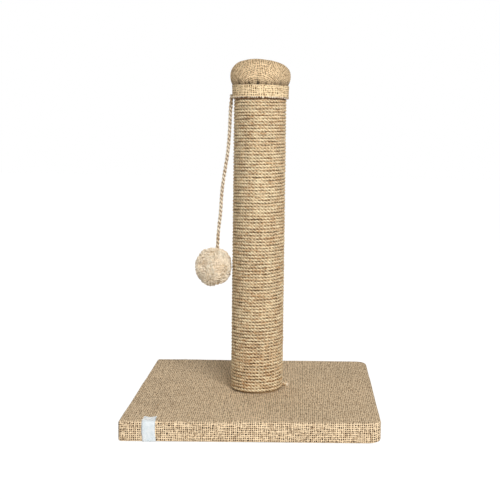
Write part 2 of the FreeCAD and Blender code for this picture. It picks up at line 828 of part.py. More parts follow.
def rounded_end(pivot, way):
    """Two sections that round a cord's end within a ball about its pivot: tip first, then pivot."""
    radius = CORD_RADIUS.value
    sides = int(s.cord_sides.value)
    tip = pivot - way * (radius * math.sin(TIP_ANGLE))
    return [ring_across(tip, way, radius * math.cos(TIP_ANGLE), sides),
            ring_across(pivot, way, radius, sides)]


def cord_link(top, bottom):
    """The short stretch that swings fore and aft: round at its upper pivot, flat above the lower."""
    way = (bottom - top).normalize()
    end = bottom - way * PIVOT_ROOM.value
    rings = rounded_end(top, way)
    rings.append(ring_across(end, way, CORD_RADIUS.value, int(s.cord_sides.value)))
    node(solid("cord_link_rod", faceted(rings)), "cord_link")


def toy_cord(points):
    """The long stretch down to the ball's knot, round at its pivot."""
    path = bent_path(points)
    pivot, way = start_of(path)
    rings = rounded_end(pivot, way)
    tube, match = tube_along(path, closed(rings[-1]))
    print(f"cord: {path.Length:.0f} mm below its pivot, volume match {match:.4f}")
    node(solid("cord_tube", tube.fuse(faceted(rings)).removeSplitter()), "toy_cord")


def yarn_ball():
    """The ball's bulk as flat-sided rings between two small ends."""
    sides = int(s.ball_sides.value)
    middle = hanging((s.joint_gap + s.ball_width / 2).value, s.ball_drop.value)
    rings = []
    steps = sides // 2
    for step in range(steps):
        angle = math.pi * ((step + 0.5) / steps - 0.5)
        centre = middle + Vector(0, 0, s.ball_height.value / 2 * math.sin(angle))
        reach = s.ball_width.value / 2 * math.cos(angle)
        rings.append(ring_across(centre, Vector(0, 0, 1), reach, sides))
    return faceted(rings)


def ball(points):
    """The yarn ball, hollow for the cord and its knot."""
    end = points[-1]
    way = (end - points[-2]).normalize()
    turn = Rotation(Vector(0, 0, 1), way)
    knot = doc.addObject("Part::Cylinder", "knot")
    bind(knot, Radius=s.knot_diameter / 2, Height=s.knot_length)
    knot.Placement = Placement(end, turn)
    node(knot, "cord_knot")

    room = doc.addObject("Part::Cylinder", "knot_room")
    bind(room, Radius=s.knot_diameter / 2 + s.seat_gap, Height=s.knot_length + 2 * s.seat_gap)
    room.Placement = Placement(end - way * s.seat_gap.value, turn)
    bore = doc.addObject("Part::Cylinder", "cord_room")
    bind(bore, Radius=CORD_RADIUS + s.joint_gap, Height=s.ball_height)
    bore.Placement = Placement(end - way * s.ball_height.value, turn)
    node(cut("yarn_hollow", solid("yarn", yarn_ball()), fuse("ball_room", room, bore)), "pompom")


# ---- the whole ----

def build():
    base_board()
    base_cover()
    side_label()
    hem_staples()
    post_tube()
    foot_plug()
    head_plug()
    nut()
    bolt_and_washer()
    round_staples("foot_staples", s.tube_staples, TUBE_RADIUS, BASE_TOP + s.plug_thickness / 2)
    round_staples("head_staples", s.tube_staples, TUBE_RADIUS, TUBE_END - s.plug_thickness / 2)
    rope_winding()
    cap_pad()
    cap_cover()
    round_staples("cap_staples", s.cap_staples, SKIRT_OUTER, TUBE_END - s.skirt_length / 2)
    cap_band()
    cord_end()
    route = [hanging(*point) for point in CORD_ROUTE]
    cord_link(route[0], route[1])
    toy_cord(route[1:])
    ball(route)


def checked():
    """Stop on a failed object or a sub-part without a sound solid."""
    doc.recompute()
    for item in doc.Objects:
        if {"Invalid", "Error"} & set(item.State):
            raise RuntimeError(f"{item.Label} failed: {item.State}")
    for item in nodes:
        shape = item.Shape
        if shape.isNull() or not shape.isValid() or not shape.Solids:
            raise RuntimeError(f"{item.Label} has no valid solid")


def write_parts():
    os.makedirs("parts", exist_ok=True)
    for item in nodes:
        item.Shape.exportStep(f"parts/{item.Label}.step")
        print(f"{item.Label}: {len(item.Shape.Solids)} solid(s), {item.Shape.Volume:.0f} mm3")


build()
checked()
write_parts()
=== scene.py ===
import math
import random

import bmesh
import bpy
from mathutils import Matrix, Vector, kdtree, noise


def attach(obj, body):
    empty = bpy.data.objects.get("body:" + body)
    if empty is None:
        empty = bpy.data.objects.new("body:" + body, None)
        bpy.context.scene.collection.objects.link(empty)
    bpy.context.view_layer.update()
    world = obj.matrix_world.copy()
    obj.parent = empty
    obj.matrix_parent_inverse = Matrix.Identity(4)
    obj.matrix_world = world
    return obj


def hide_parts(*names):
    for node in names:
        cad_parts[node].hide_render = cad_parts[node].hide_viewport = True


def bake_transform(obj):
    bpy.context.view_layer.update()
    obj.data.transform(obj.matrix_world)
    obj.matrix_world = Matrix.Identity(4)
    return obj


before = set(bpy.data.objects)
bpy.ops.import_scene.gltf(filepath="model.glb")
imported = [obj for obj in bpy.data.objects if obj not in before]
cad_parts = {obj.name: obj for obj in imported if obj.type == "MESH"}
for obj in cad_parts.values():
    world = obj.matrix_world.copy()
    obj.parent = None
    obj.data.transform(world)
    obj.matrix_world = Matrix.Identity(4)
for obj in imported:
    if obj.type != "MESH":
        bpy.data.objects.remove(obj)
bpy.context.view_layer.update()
PLACES = random.Random(11)


# ---------------------------------------------------------------- camera, light, floor

CAMERA_PLACE = (0.05645, -1.2294, 0.35536)
CAMERA_TILT = math.radians(4.095)
CAMERA_ROLL = math.radians(-0.97)
CAMERA_TURN = math.radians(-1.2)
CAMERA_LENS = 69.67
CAMERA_SHIFT = (-0.1473, -0.1)
WHITE = (1.0, 1.0, 1.0, 1.0)
LAMPS_AIM = Vector((0, 0, 0.2))
#: name, place, side in metres, power in watts, colour
LAMPS = (
    ("key", (0.82, -2.15, 1.62), 1.15, 62.5, (1.0, 0.985, 0.965)),
    ("back", (-1.0, 1.9, 0.5), 1.5, 18.0, (1.0, 0.93, 0.84)),
)
ROOM_COLOUR = (1.0, 0.94, 0.86, 1.0)
ROOM_STRENGTH = 0.28
FLOOR_HALF = 6.0
FLOOR_HEIGHT = -0.0005
FLOOR_COLOUR = (0.8, 0.8, 0.8, 1.0)
FLOOR_GLOW = 1.1
FLOOR_GLOW_SHARE = 0.9


def link(item):
    bpy.context.collection.objects.link(item)
    return item


def make_camera():
    camera = link(bpy.data.objects.new("camera", bpy.data.cameras.new("camera")))
    camera.data.lens = CAMERA_LENS
    camera.data.shift_x, camera.data.shift_y = CAMERA_SHIFT
    back = Vector((0, -math.cos(CAMERA_TILT), math.sin(CAMERA_TILT)))
    right, up = Vector((1, 0, 0)), Vector((0, math.sin(CAMERA_TILT), math.cos(CAMERA_TILT)))
    turned = (
        right * math.cos(CAMERA_ROLL) - up * math.sin(CAMERA_ROLL),
        right * math.sin(CAMERA_ROLL) + up * math.cos(CAMERA_ROLL),
        back,
    )
    aim = Matrix.Rotation(CAMERA_TURN, 4, "Z") @ Matrix(turned).transposed().to_4x4()
    camera.matrix_world = Matrix.Translation(CAMERA_PLACE) @ aim
    bpy.context.scene.camera = camera


def soft_lamp(name, place, size, power, colour):
    lamp = link(bpy.data.objects.new(name, bpy.data.lights.new(name, "AREA")))
    lamp.data.size = size
    lamp.data.energy = power
    lamp.data.color = colour
    lamp.location = place
    lamp.visible_camera = False
    lamp.rotation_euler = (LAMPS_AIM - Vector(place)).to_track_quat("-Z", "Y").to_euler()


# ---------------------------------------------------------------- shader maths


class Value:
    """A number or colour in a finish; Python's operators on it add Math nodes."""

    def __init__(self, finish, socket):
        self.finish, self.socket = finish, socket

    def maths(self, operation, *others):
        inputs = dict(enumerate((self,) + others))
        return self.finish.node("ShaderNodeMath", {"operation": operation}, inputs)

    def __add__(self, other):
        return self.maths("ADD", other)

    def __sub__(self, other):
        return self.maths("SUBTRACT", other)

    def __rsub__(self, other):
        return self.finish.node("ShaderNodeMath", {"operation": "SUBTRACT"}, {0: other, 1: self})

    def __mul__(self, other):
        return self.maths("MULTIPLY", other)

    def __truediv__(self, other):
        return self.maths("DIVIDE", other)

    __radd__, __rmul__ = __add__, __mul__

    def floor(self):
        return self.maths("FLOOR")

    def fract(self):
        return self.maths("FRACT")

    def size(self):
        return self.maths("ABSOLUTE")

    def cosine(self):
        return self.maths("COSINE")

    def highest(self, other):
        return self.maths("MAXIMUM", other)

    def over(self, other):
        return self.maths("GREATER_THAN", other)

    def root(self):
        return self.maths("MAXIMUM", 0.0).maths("SQRT")

    def smooth(self, low, high, start=0.0, end=1.0):
        settings = {"interpolation_type": "SMOOTHSTEP"}
        inputs = {0: self, 1: low, 2: high, 3: start, 4: end}
        return self.finish.node("ShaderNodeMapRange", settings, inputs)


class Finish:
    """A material and its nodes, each of which comes back as a Value."""

    def __init__(self, name):
        self.material = bpy.data.materials.new(name)
        self.material.use_nodes = True
        self.tree = self.material.node_tree
        self.tree.nodes.clear()

    def node(self, kind, settings=None, inputs=None, out=0):
        made = self.tree.nodes.new(kind)
        for key, value in (settings or {}).items():
            setattr(made, key, value)
        for key, value in (inputs or {}).items():
            if isinstance(value, Value):
                self.tree.links.new(value.socket, made.inputs[key])
            else:
                made.inputs[key].default_value = value
        return Value(self, made.outputs[out])

    def place(self):
        """Object coordinates as three values, in metres."""
        spot = self.node("ShaderNodeTexCoord", out="Object")
        return spot, [self.node("ShaderNodeSeparateXYZ", inputs={0: spot}, out=i) for i in range(3)]

    def cloth_place(self, layer, pitch):
        """The piece's own flat coordinates, counted in threads."""
        spot = self.node("ShaderNodeUVMap", {"uv_map": layer})
        flat = [self.node("ShaderNodeSeparateXYZ", inputs={0: spot}, out=i) for i in range(2)]
        return [value / pitch for value in flat]

    def written(self, layer):
        """A number that the piece carries at each of its points."""
        return self.node("ShaderNodeAttribute", {"attribute_name": layer}, out="Fac")

    def joined(self, x, y, z=0.0):
        return self.node("ShaderNodeCombineXYZ", inputs={0: x, 1: y, 2: z})

    def clouds(self, spot, scale, detail=2.0, rough=0.5):
        inputs = {"Vector": spot, "Scale": scale, "Detail": detail, "Roughness": rough}
        return self.node("ShaderNodeTexNoise", inputs=inputs)

    def chance(self, number, seed):
        """A random number, the same for the same whole number."""
        inputs = {"Vector": self.joined(number, seed)}
        return self.node("ShaderNodeTexWhiteNoise", {"noise_dimensions": "2D"}, inputs)

    def mix(self, share, first, second, how="MIX"):
        settings = {"data_type": "RGBA", "blend_type": how}
        return self.node("ShaderNodeMix", settings, {0: share, 6: first, 7: second}, out=2)

    def shaded(self, colour, factor):
        """A colour made lighter or darker by a number."""
        colour = colour if isinstance(colour, Value) else colour[:3]
        return self.node("ShaderNodeVectorMath", {"operation": "SCALE"}, {0: colour, "Scale": factor})

    def surface(self, colour, roughness, height=None, depth=0.001, **constants):
        inputs = {"Base Color": colour, "Roughness": roughness, **constants}
        if height is not None:
            inputs["Normal"] = self.node("ShaderNodeBump", inputs={"Distance": depth, "Height": height})
        shader = self.node("ShaderNodeBsdfPrincipled", inputs=inputs)
        self.node_output(shader)
        return self.material

    def node_output(self, shader):
        self.tree.links.new(shader.socket, self.tree.nodes.new("ShaderNodeOutputMaterial").inputs[0])


def tone(red, green, blue):
    """A screen colour of 0 to 255 as the light it stands for."""
    shares = (value / 255 for value in (red, green, blue))
    return tuple(s / 12.92 if s <= 0.04045 else ((s + 0.055) / 1.055) ** 2.4 for s in shares) + (1.0,)


# ---------------------------------------------------------------- finishes

THREAD_PITCH = 0.00236
THREAD_RELIEF = 0.0008
MATT = {"Specular IOR Level": 0.15}
ROPE_CENTRE = 0.0312
#: over this rise the cloth turns from the base's sides onto its flat top
FLAT_EDGE = 0.0012


def threads(f, n, places, cells, over, fill, wobble, seed):
    """One of the cloth's two sets of threads: how high it stands, what it covers and how light it is."""
    run = places[1 - n]
    sway = f.clouds(f.joined(cells[n] * 5.1, run * 0.24, seed + 60 + n), 1.0) - 0.5
    own = places[n].fract() - 0.5 + sway * wobble
    lumps = f.clouds(f.joined(cells[n] * 3.7, run * 0.45, seed + 7 + n), 1.0)
    half = f.chance(cells[n], seed + n) * 0.06 + lumps * 0.2 + (fill - 0.13)
    reach = own.size() / half
    lift = ((run.fract() - 0.5) * math.pi).cosine() * over
    rounded = (1.0 - reach * reach).root()
    cover = 1.0 - reach.smooth(0.85, 1.1)
    streaks = f.clouds(f.joined(own * 7.0 + cells[n] * 5.3, run * 2.1, seed + 3), 1.0, 3.0)
    lightness = f.chance(cells[n], seed + 21 + n) * 0.08 + lumps * 0.4 + streaks * 0.65
    return (rounded * 0.6 + lift * 0.3 + 0.3) * cover, cover, lightness


def burlap(name, light, dark, hole_shade, pitch=THREAD_PITCH, fill=0.33, wobble=1.2, seed=0.0,
           shade=None, flat_from=None):
    """Loose plain weave of slubby jute threads with open holes between them, with painted shade in the holes.

    fill is a thread's half width in threads, and wobble how far it strays. shade names a number that
    the piece carries as painted shade that darkens it. Above the height flat_from the weave is closer,
    has slubs and is painted darker as shade on the flat top.
    """
    f = Finish(name)
    across, along = f.cloth_place("weave", pitch)
    spot, (_, _, rise) = f.place()
    if flat_from:
        flat = rise.smooth(flat_from - FLAT_EDGE, flat_from)
        slubs = f.clouds(f.joined(across * 0.9, along * 0.35, seed + 90), 1.0, 2.0, 0.6) - 0.5
        fill = flat * 0.06 + fill
    wander = [
        (f.clouds(f.joined(across * a, along * b, seed + n), 1.0) - 0.5) * 0.9
        for n, (a, b) in enumerate(((0.6, 0.12), (0.12, 0.6)))
    ]
    places = across + wander[0], along + wander[1]
    cells = [place.floor() for place in places]
    over = (((cells[0] + cells[1]) * 0.5).fract() * 4.0) - 1.0
    first = threads(f, 0, places, cells, over, fill, wobble, seed)
    second = threads(f, 1, places, cells, over * -1.0, fill, wobble, seed)
    height = first[0].highest(second[0])
    lightness = f.node("ShaderNodeMix", inputs={0: first[0].over(second[0]), 2: second[2], 3: first[2]})
    fleck = f.chance(cells[0] + cells[1] * 57.0, seed + 40)
    # painted shade and highlight: the crowns of the threads are lighter and the dips between them darker
    share = lightness * 0.85 + fleck * 0.6 + height * 0.8 - 0.72
    if flat_from:
        share = share + flat * slubs * 0.9
    colour = f.mix(share.smooth(0.0, 1.0), dark, light)
    # painted shade and highlight: dips darker and crowns lighter by height
    colour = f.shaded(colour, height.smooth(0.0, 0.7, 0.27, 1.09))
    # painted shade: the holes take the dark hole colour
    colour = f.mix(1.0 - first[1].highest(second[1]), colour, hole_shade)
    colour = f.shaded(colour, f.clouds(spot, 24.0, 3.0, 0.6) * 0.26 + 0.87)
    if flat_from:
        # painted shade: the flat top darker than the sides
        colour = f.shaded(colour, 1.0 - flat * 0.15)
    if shade:
        colour = f.shaded(colour, f.written(shade))
    return f.surface(colour, 0.92, height, THREAD_RELIEF, **MATT)


def jute(name, light, dark, groove_shade, wound=True):
    """Twisted jute: fine fibres along the twist, with painted shade in the grooves between plies and turns.
    """
    f = Finish(name)
    spot, (x, y, z) = f.place()
    if wound:
        turn = y.maths("ARCTAN2", x) * ROPE_CENTRE
        radius = (x * x + y * y).root()
        fibre = f.clouds(f.joined(turn * 0.45 + z * 0.2, z * 2.4, radius * 2.0), 1400.0, 3.0, 0.7)
        speck = f.clouds(f.joined(turn, z * 1.5, radius), 430.0, 2.0, 0.6)
        worn = f.clouds(f.joined(turn * 0.5, z * 2.0, radius), 150.0, 3.0, 0.6)
    else:
        fibre, speck, worn = (f.clouds(spot, scale, 2.0, 0.6) for scale in (1800.0, 520.0, 120.0))
    patch = f.clouds(spot, 18.0, 2.0)
    share = (fibre - 0.5) * 1.0 + (speck - 0.5) * 1.7 + (worn - 0.5) * 1.2 + (patch - 0.5) * 0.3 + 0.60
    colour = f.mix(share.smooth(0.1, 0.9), dark, light)
    # painted shade: the groove colour where the piece marks a point as deep in a groove
    colour = f.mix(f.written("depth"), groove_shade, colour)
    return f.surface(colour, 0.88, fibre, 0.0004, **MATT)


def fibrous(name, light, dark, grain, stretch=(1.0, 1.0, 1.0), rough=0.9, **constants):
    """A matt fibrous finish with a grain that may be drawn out along one direction."""
    f = Finish(name)
    _, (x, y, z) = f.place()
    drawn = f.joined(x * stretch[0], y * stretch[1], z * stretch[2])
    fine = f.clouds(drawn, grain, 4.0, 0.65)
    broad = f.clouds(drawn, grain * 0.07, 2.0)
    colour = f.mix((fine * 0.7 + broad * 0.6 - 0.15).smooth(0.25, 0.75), dark, light)
    return f.surface(colour, rough, fine, 0.0003, **constants)


def chipboard():
    """Pressed wood chips with dust between them."""
    f = Finish("chipboard")
    spot, _ = f.place()
    inputs = {"Vector": spot, "Scale": 420.0, "Randomness": 1.0}
    chips = f.node("ShaderNodeTexVoronoi", {"distance": "CHEBYCHEV"}, inputs, out="Color")
    share = f.node("ShaderNodeSeparateXYZ", inputs={0: chips})
    dust = f.clouds(spot, 900.0, 3.0)
    lightness = (share * 0.45 + dust * 0.8 - 0.12).smooth(0.1, 0.9)
    colour = f.mix(lightness, tone(158, 124, 84), tone(206, 176, 132))
    return f.surface(colour, 0.8, share + dust, 0.0002)


def brushed(name, colour, rough):
    """Metal with fine drawing lines and a little dullness in spots."""
    f = Finish(name)
    spot, (x, y, z) = f.place()
    lines = f.clouds(f.joined(x * 3.0, y, z * 0.4), 900.0, 2.0)
    spots = f.clouds(spot, 300.0, 3.0)
    shade = f.shaded(colour, spots * 0.3 + 0.85)
    return f.surface(shade, spots * 0.25 + rough, lines, 0.00004, Metallic=1.0)


def satin_ribbon():
    """Satin ribbon: fine ribs across the tape and a woven edge."""
    f = Finish("satin_ribbon")
    across, along = f.cloth_place("weave", 0.00035)
    ribs = (along * 2 * math.pi).cosine() * 0.5 + (across * 2 * math.pi).cosine() * 0.5
    spot, _ = f.place()
    cloud = f.clouds(spot, 160.0, 3.0)
    colour = f.mix(cloud.smooth(0.3, 0.7), tone(220, 232, 240), tone(240, 247, 252))
    return f.surface(colour, 0.45, ribs, 0.00004, **{"Sheen Weight": 0.3, "Sheen Roughness": 0.35})


# the third colour of each burlap is painted shade in its holes, and of each jute painted shade in its grooves
FINISHES = {
    "base_burlap": burlap(
        "base_burlap", tone(246, 222, 187), tone(138, 106, 72), tone(36, 22, 12),
        fill=0.300, seed=1.0, flat_from=0.0232),
    "cap_burlap": burlap(
        "cap_burlap", tone(246, 219, 178), tone(152, 114, 74), tone(60, 34, 16),
        pitch=0.0023, fill=0.30, seed=4.0, shade="shade"),
    "band_burlap": burlap(
        "band_burlap", tone(243, 220, 180), tone(174, 138, 96), tone(100, 68, 38),
        pitch=0.0026, fill=0.335, wobble=1.6, seed=9.0),
    "jute_rope": jute("jute_rope", tone(255, 240, 203), tone(196, 150, 102), tone(98, 57, 28)),
    "cream_cord": jute("cream_cord", tone(254, 244, 224), tone(206, 176, 138), tone(92, 62, 38), wound=False),
    "ball_yarn": fibrous("ball_yarn", tone(255, 248, 232), tone(250, 231, 204), 900.0, **MATT),
    "ribbon": satin_ribbon(),
    "chipboard": chipboard(),
    "tube_cardboard": fibrous("tube_cardboard", tone(186, 158, 122), tone(150, 122, 88), 500.0, (1, 1, 0.2)),
    "plug_wood": fibrous("plug_wood", tone(206, 172, 124), tone(160, 122, 80), 350.0, (0.15, 1, 1), 0.7),
    "foam": fibrous("foam", tone(232, 226, 206), tone(206, 198, 172), 1600.0, rough=0.95),
    "staple_wire": brushed("staple_wire", tone(170, 168, 164), 0.3),
    "zinc_steel": brushed("zinc_steel", tone(196, 196, 190), 0.28),
}


# ---------------------------------------------------------------- building helpers


def piece(name, mesh, slot, body="post", instead_of=()):
    """A finished piece at the origin, with its finish, riding on its body."""
    mesh.name = name
    for face in mesh.polygons:
        face.use_smooth = True
    mesh.materials.clear()
    mesh.materials.append(FINISHES[slot])
    made = link(bpy.data.objects.new(name, mesh))
    if body:
        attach(made, body)
    if instead_of:
        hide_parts(*instead_of)
    return made


def thicken(cloth, thickness, offset=-1.0):
    """Gives a sheet its thickness, inwards unless the offset says otherwise."""
    wall = cloth.modifiers.new("thickness", "SOLIDIFY")
    wall.thickness = thickness
    wall.offset = offset


def mesh_from(name, bm):
    mesh = bpy.data.meshes.new(name)
    bm.normal_update()
    bm.to_mesh(mesh)
    bm.free()
    return mesh


def strand_mesh(name, lines, radius, rounds=1, thinning=None, swell=0.0):
    """Tubes along lines of points, as one mesh.

    thinning gives the share of the radius from the share of the way along, and swell how uneven it is.
    """
    curve = bpy.data.curves.new(name, "CURVE")
    curve.dimensions = "3D"
    curve.bevel_depth = radius
    curve.bevel_resolution = rounds
    curve.use_fill_caps = True
    for line in lines:
        spline = curve.splines.new("POLY")
        spline.points.add(len(line) - 1)
        for n, (point, spot) in enumerate(zip(spline.points, line)):
            point.co = (*spot, 1.0)
            if thinning:
                point.radius = thinning(n / (len(line) - 1))
            if swell:
                point.radius *= 1 + swell * noise.noise(Vector(spot) * 170)
    holder = bpy.data.objects.new(name, curve)
    mesh = bpy.data.meshes.new_from_object(holder)
    bpy.data.objects.remove(holder)
    bpy.data.curves.remove(curve)
    bm = bmesh.new()
    bm.from_mesh(mesh)
    bmesh.ops.remove_doubles(bm, verts=bm.verts, dist=1e-7)
    bmesh.ops.recalc_face_normals(bm, faces=bm.faces)
    bm.to_mesh(mesh)
    bm.free()
    return mesh


def mark(mesh, values, name):
    """Writes one number at each point of a mesh for its finish to read."""
    mesh.attributes.new(name, "FLOAT", "POINT").data.foreach_set("value", values)


def ease(value, low, high):
    """0 below low, 1 above high, and a smooth step between them."""
    share = max(0.0, min(1.0, (value - low) / (high - low)))
    return share * share * (3 - 2 * share)


def mark_depth(mesh, line, grooves, turn_grooves=None):
    """Marks how far out of the grooves each point lies, between 0 and 1, for the finishes to paint shade into
    the grooves.

    grooves are the distances from the line between which that grows, and turn_grooves, on the
    winding, the distances from the post's axis. The winding also gets painted shadow under the band and
    painted contact shade at its foot.
    """
    tree = kdtree.KDTree(len(line))
    for n, spot in enumerate(line):
        tree.insert(spot, n)
    tree.balance()
    values = []
    for v in mesh.vertices:
        spot, n, _ = tree.find(v.co)
        ahead = (line[min(n + 1, len(line) - 1)] - line[max(n - 1, 0)]).normalized()
        apart = v.co - spot
        value = ease((apart - ahead * apart.dot(ahead)).length, *grooves)
        if turn_grooves:
            value *= ease(math.hypot(v.co.x, v.co.y), *turn_grooves)
            # painted shadow under the band's edge and painted contact shade at the winding's foot
            value *= (1 - 0.9 * ease(v.co.z, *SHADOW_UNDER_BAND)) * ease(v.co.z, *SHADE_AT_FOOT)
        values.append(value)
    mark(mesh, values, "depth")


def round_post(angle, radius, height):
    return Vector((radius * math.cos(angle), radius * math.sin(angle), height))


# ---------------------------------------------------------------- rope winding

ROPE_PITCH = 0.00403
ROPE_START = math.radians(32)
ROPE_FOOT = 0.0254
ROPE_TOP = 0.4078
ROPE_PLIES = 3
PLY_RADIUS = 0.00124
PLY_OFFSET = 0.00092
PLY_LAY = 0.0128
PLY_SWELL = 0.25
# distances from the rope's line, and from the post's axis, over which the painted groove shade fades out
PLY_GROOVES = (0.00120, 0.00190)
TURN_GROOVES = (ROPE_CENTRE, 0.0323)
# heights above which the winding gets painted shadow under the band, and below which painted contact shade at
# its foot
SHADOW_UNDER_BAND = (0.3922, 0.3938)
SHADE_AT_FOOT = (0.0234, 0.0246)
STEPS_PER_TURN = 132
ROPE_PIECES = ("rope_foot", "rope_low", "rope_high")
TAIL_LENGTH = 0.0125
TAIL_STEP = 0.0015
TAIL_OUTWARD = 0.0058
TAIL_RISE = 0.0011


def rope_line():
    """Centre points of the rope, from the end of its loose tail round the post to the top."""
    turns = (ROPE_TOP - ROPE_FOOT) / ROPE_PITCH
    line = []
    start = round_post(ROPE_START, ROPE_CENTRE, ROPE_FOOT)
    away = Vector((math.sin(ROPE_START), -math.cos(ROPE_START), 0))
    outward = round_post(ROPE_START, 1.0, 0)
    steps = round(TAIL_LENGTH / TAIL_STEP)
    for n in range(steps, 0, -1):
        reach = n / steps
        bend = away * TAIL_LENGTH * reach + outward * TAIL_OUTWARD * reach * reach
        line.append(start + bend + Vector((0, 0, TAIL_RISE * math.sin(reach * 2.5))))
    for n in range(round(turns * STEPS_PER_TURN) + 1):
        turn = n / STEPS_PER_TURN
        angle = ROPE_START + turn * 2 * math.pi
        sway = noise.noise(Vector((math.cos(angle) * 1.3, math.sin(angle) * 1.3, turn * 0.12)))
        jitter = noise.noise(Vector((math.cos(angle) * 2.5, math.sin(angle) * 2.5, turn * 1.7 + 40)))
        settle = min(1.0, turn)
        height = ROPE_FOOT + turn * ROPE_PITCH + settle * (sway * 0.0005 + jitter * 0.00035)
        line.append(round_post(angle, ROPE_CENTRE + jitter * 0.00018, height))
    return line


def plies_along(line, count, offset, lay, start=0.0, hand=1.0):
    """Lines of points of the plies twisted round a centre line, and how far along it ends."""
    lines = [[] for _ in range(count)]
    run = start
    for n, spot in enumerate(line):
        before, after = line[max(n - 1, 0)], line[min(n + 1, len(line) - 1)]
        ahead = (after - before).normalized()
        run += (spot - before).length
        side = ahead.cross(Vector((0, 0, 1))) if abs(ahead.z) < 0.9 else ahead.cross(Vector((0, 1, 0)))
        side.normalize()
        rise = side.cross(ahead)
        for k in range(count):
            turn = hand * 2 * math.pi * (run / lay + k / count)
            out = offset * (1 + 0.12 * noise.noise(Vector((run * 90, k * 7.0, 3.0))))
            lines[k].append(spot + (side * math.cos(turn) + rise * math.sin(turn)) * out)
    return lines, run


def make_rope():
    """Every turn of the winding, in three pieces, each of them three plies."""
    line = rope_line()
    share = math.ceil(len(line) / len(ROPE_PIECES))
    run = 0.0
    for n, name in enumerate(ROPE_PIECES):
        part = line[n * share:(n + 1) * share + 1]
        lines, run = plies_along(part, ROPE_PLIES, PLY_OFFSET, PLY_LAY, run, hand=-1.0)
        mesh = strand_mesh(name, lines, PLY_RADIUS, swell=PLY_SWELL)
        # painted shade in the grooves between plies and between turns, under the band and at the foot
        mark_depth(mesh, part, PLY_GROOVES, TURN_GROOVES)
        piece(name, mesh, "jute_rope", instead_of=("rope_winding",))


# ---------------------------------------------------------------- toy cord and yarn ball

UPPER_HINGE = (-0.0364, 0.0, 0.3914)
LOWER_HINGE = (-0.0375, 0.0, 0.380)
CORD_ROUTE = (
    UPPER_HINGE,
    LOWER_HINGE,
    (-0.0382, 0.0, 0.355),
    (-0.0398, 0.0, 0.3285),
    (-0.0439, 0.0, 0.302),
    (-0.0476, 0.0, 0.2755),
    (-0.0485, 0.0, 0.2495),
    (-0.0515, 0.0, 0.224),
    (-0.0520, 0.0, 0.2045),
    (-0.0540, 0.0, 0.1885),
)
CORD_PLIES = 2
CORD_PLY_RADIUS = 0.00130
CORD_PLY_OFFSET = 0.00124
CORD_LAY = 0.0102
CORD_SWELL = 0.12
# distances from the cord's line over which the painted groove shade fades out
CORD_GROOVES = (0.0011, 0.0023)
#: the cord's way up behind the band, above its upper hinge
CORD_UNDER_BAND = ((-0.0362, 0, 0.3985), (-0.0363, 0, 0.3960), (-0.0364, 0, 0.3937))
#: height between the two hinges where one piece of the cord ends and the next begins
CORD_SPLIT = 0.3862
KNOT_TURNS = 2.2
KNOT_POINTS = 40
KNOT_LAY = 0.009
KNOT_PLY_OFFSET = 0.0006
KNOT_PLY_RADIUS = 0.0008
# distances from the knot's line over which the painted groove shade fades out
KNOT_GROOVES = (0.0004, 0.0012)
BALL_CENTRE = Vector((-0.0568, 0.0, 0.180))
BALL_HALF = Vector((0.0235, 0.0235, 0.0245))
BALL_UNEVEN = 0.07
#: the ball's side that rests against the post lies no further out than about this
BALL_REST = 0.0212
BALL_CORE = 0.85
TUFTS = 1500
TUFT_ROOT = 0.82
TUFT_RADIUS = 0.00072
TUFT_POINTS = 5


def spline_points(points, resolution=10):
    """Points read back from one smooth curve that has these as its control points."""
    curve = bpy.data.curves.new("route", "CURVE")
    curve.dimensions = "3D"
    spline = curve.splines.new("NURBS")
    spline.points.add(len(points) - 1)
    for point, spot in zip(spline.points, points):
        point.co = (*spot, 1.0)
    spline.order_u = 3
    spline.use_endpoint_u = True
    spline.resolution_u = resolution
    holder = bpy.data.objects.new("route", curve)
    mesh = bpy.data.meshes.new_from_object(holder)
    line = [v.co.copy() for v in mesh.vertices]
    bpy.data.objects.remove(holder)
    bpy.data.curves.remove(curve)
    bpy.data.meshes.remove(mesh)
    return line


def twisted(name, line, start=0.0):
    """A length of the toy's cord, and how far along it ends."""
    lines, run = plies_along(line, CORD_PLIES, CORD_PLY_OFFSET, CORD_LAY, start)
    mesh = strand_mesh(name, lines, CORD_PLY_RADIUS, 2, swell=CORD_SWELL)
    # painted shade in the groove between the cord's plies
    mark_depth(mesh, line, CORD_GROOVES)
    return mesh, run


def make_cord():
    """The hanging cord in two pieces, each of which bends at one of the hinges."""
    line = spline_points(CORD_ROUTE, 14)
    cut = next(n for n, spot in enumerate(line) if spot.z < CORD_SPLIT)
    neck_line = [Vector(spot) for spot in CORD_UNDER_BAND] + line[:cut + 1]
    neck_mesh, run = twisted("cord_neck", neck_line)
    neck = piece("cord_neck", neck_mesh, "cream_cord", None, ("cord_end", "cord_link"))
    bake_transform(neck)
    free = line[cut:]
    hanging = piece("hanging_cord", twisted("hanging_cord", free, run)[0], "cream_cord", None, ("toy_cord",))
    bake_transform(hanging)
    return neck, hanging, free


def make_knot():
    """The cord's knot, half sunk in the top of the ball."""
    base = Vector(CORD_ROUTE[-1])
    line = []
    for n in range(KNOT_POINTS):
        share = n / (KNOT_POINTS - 1)
        turn = share * 2 * math.pi * KNOT_TURNS
        reach = 0.0016 + 0.0004 * math.sin(share * math.pi)
        line.append(base + Vector((reach * math.cos(turn), reach * math.sin(turn), 0.0012 - 0.0058 * share)))
    lines, _ = plies_along(line, CORD_PLIES, KNOT_PLY_OFFSET, KNOT_LAY)
    mesh = strand_mesh("knot", lines, KNOT_PLY_RADIUS)
    # painted shade in the grooves between the knot's plies
    mark_depth(mesh, line, KNOT_GROOVES)
    return piece("knot", mesh, "cream_cord", "toy", ("cord_knot",))


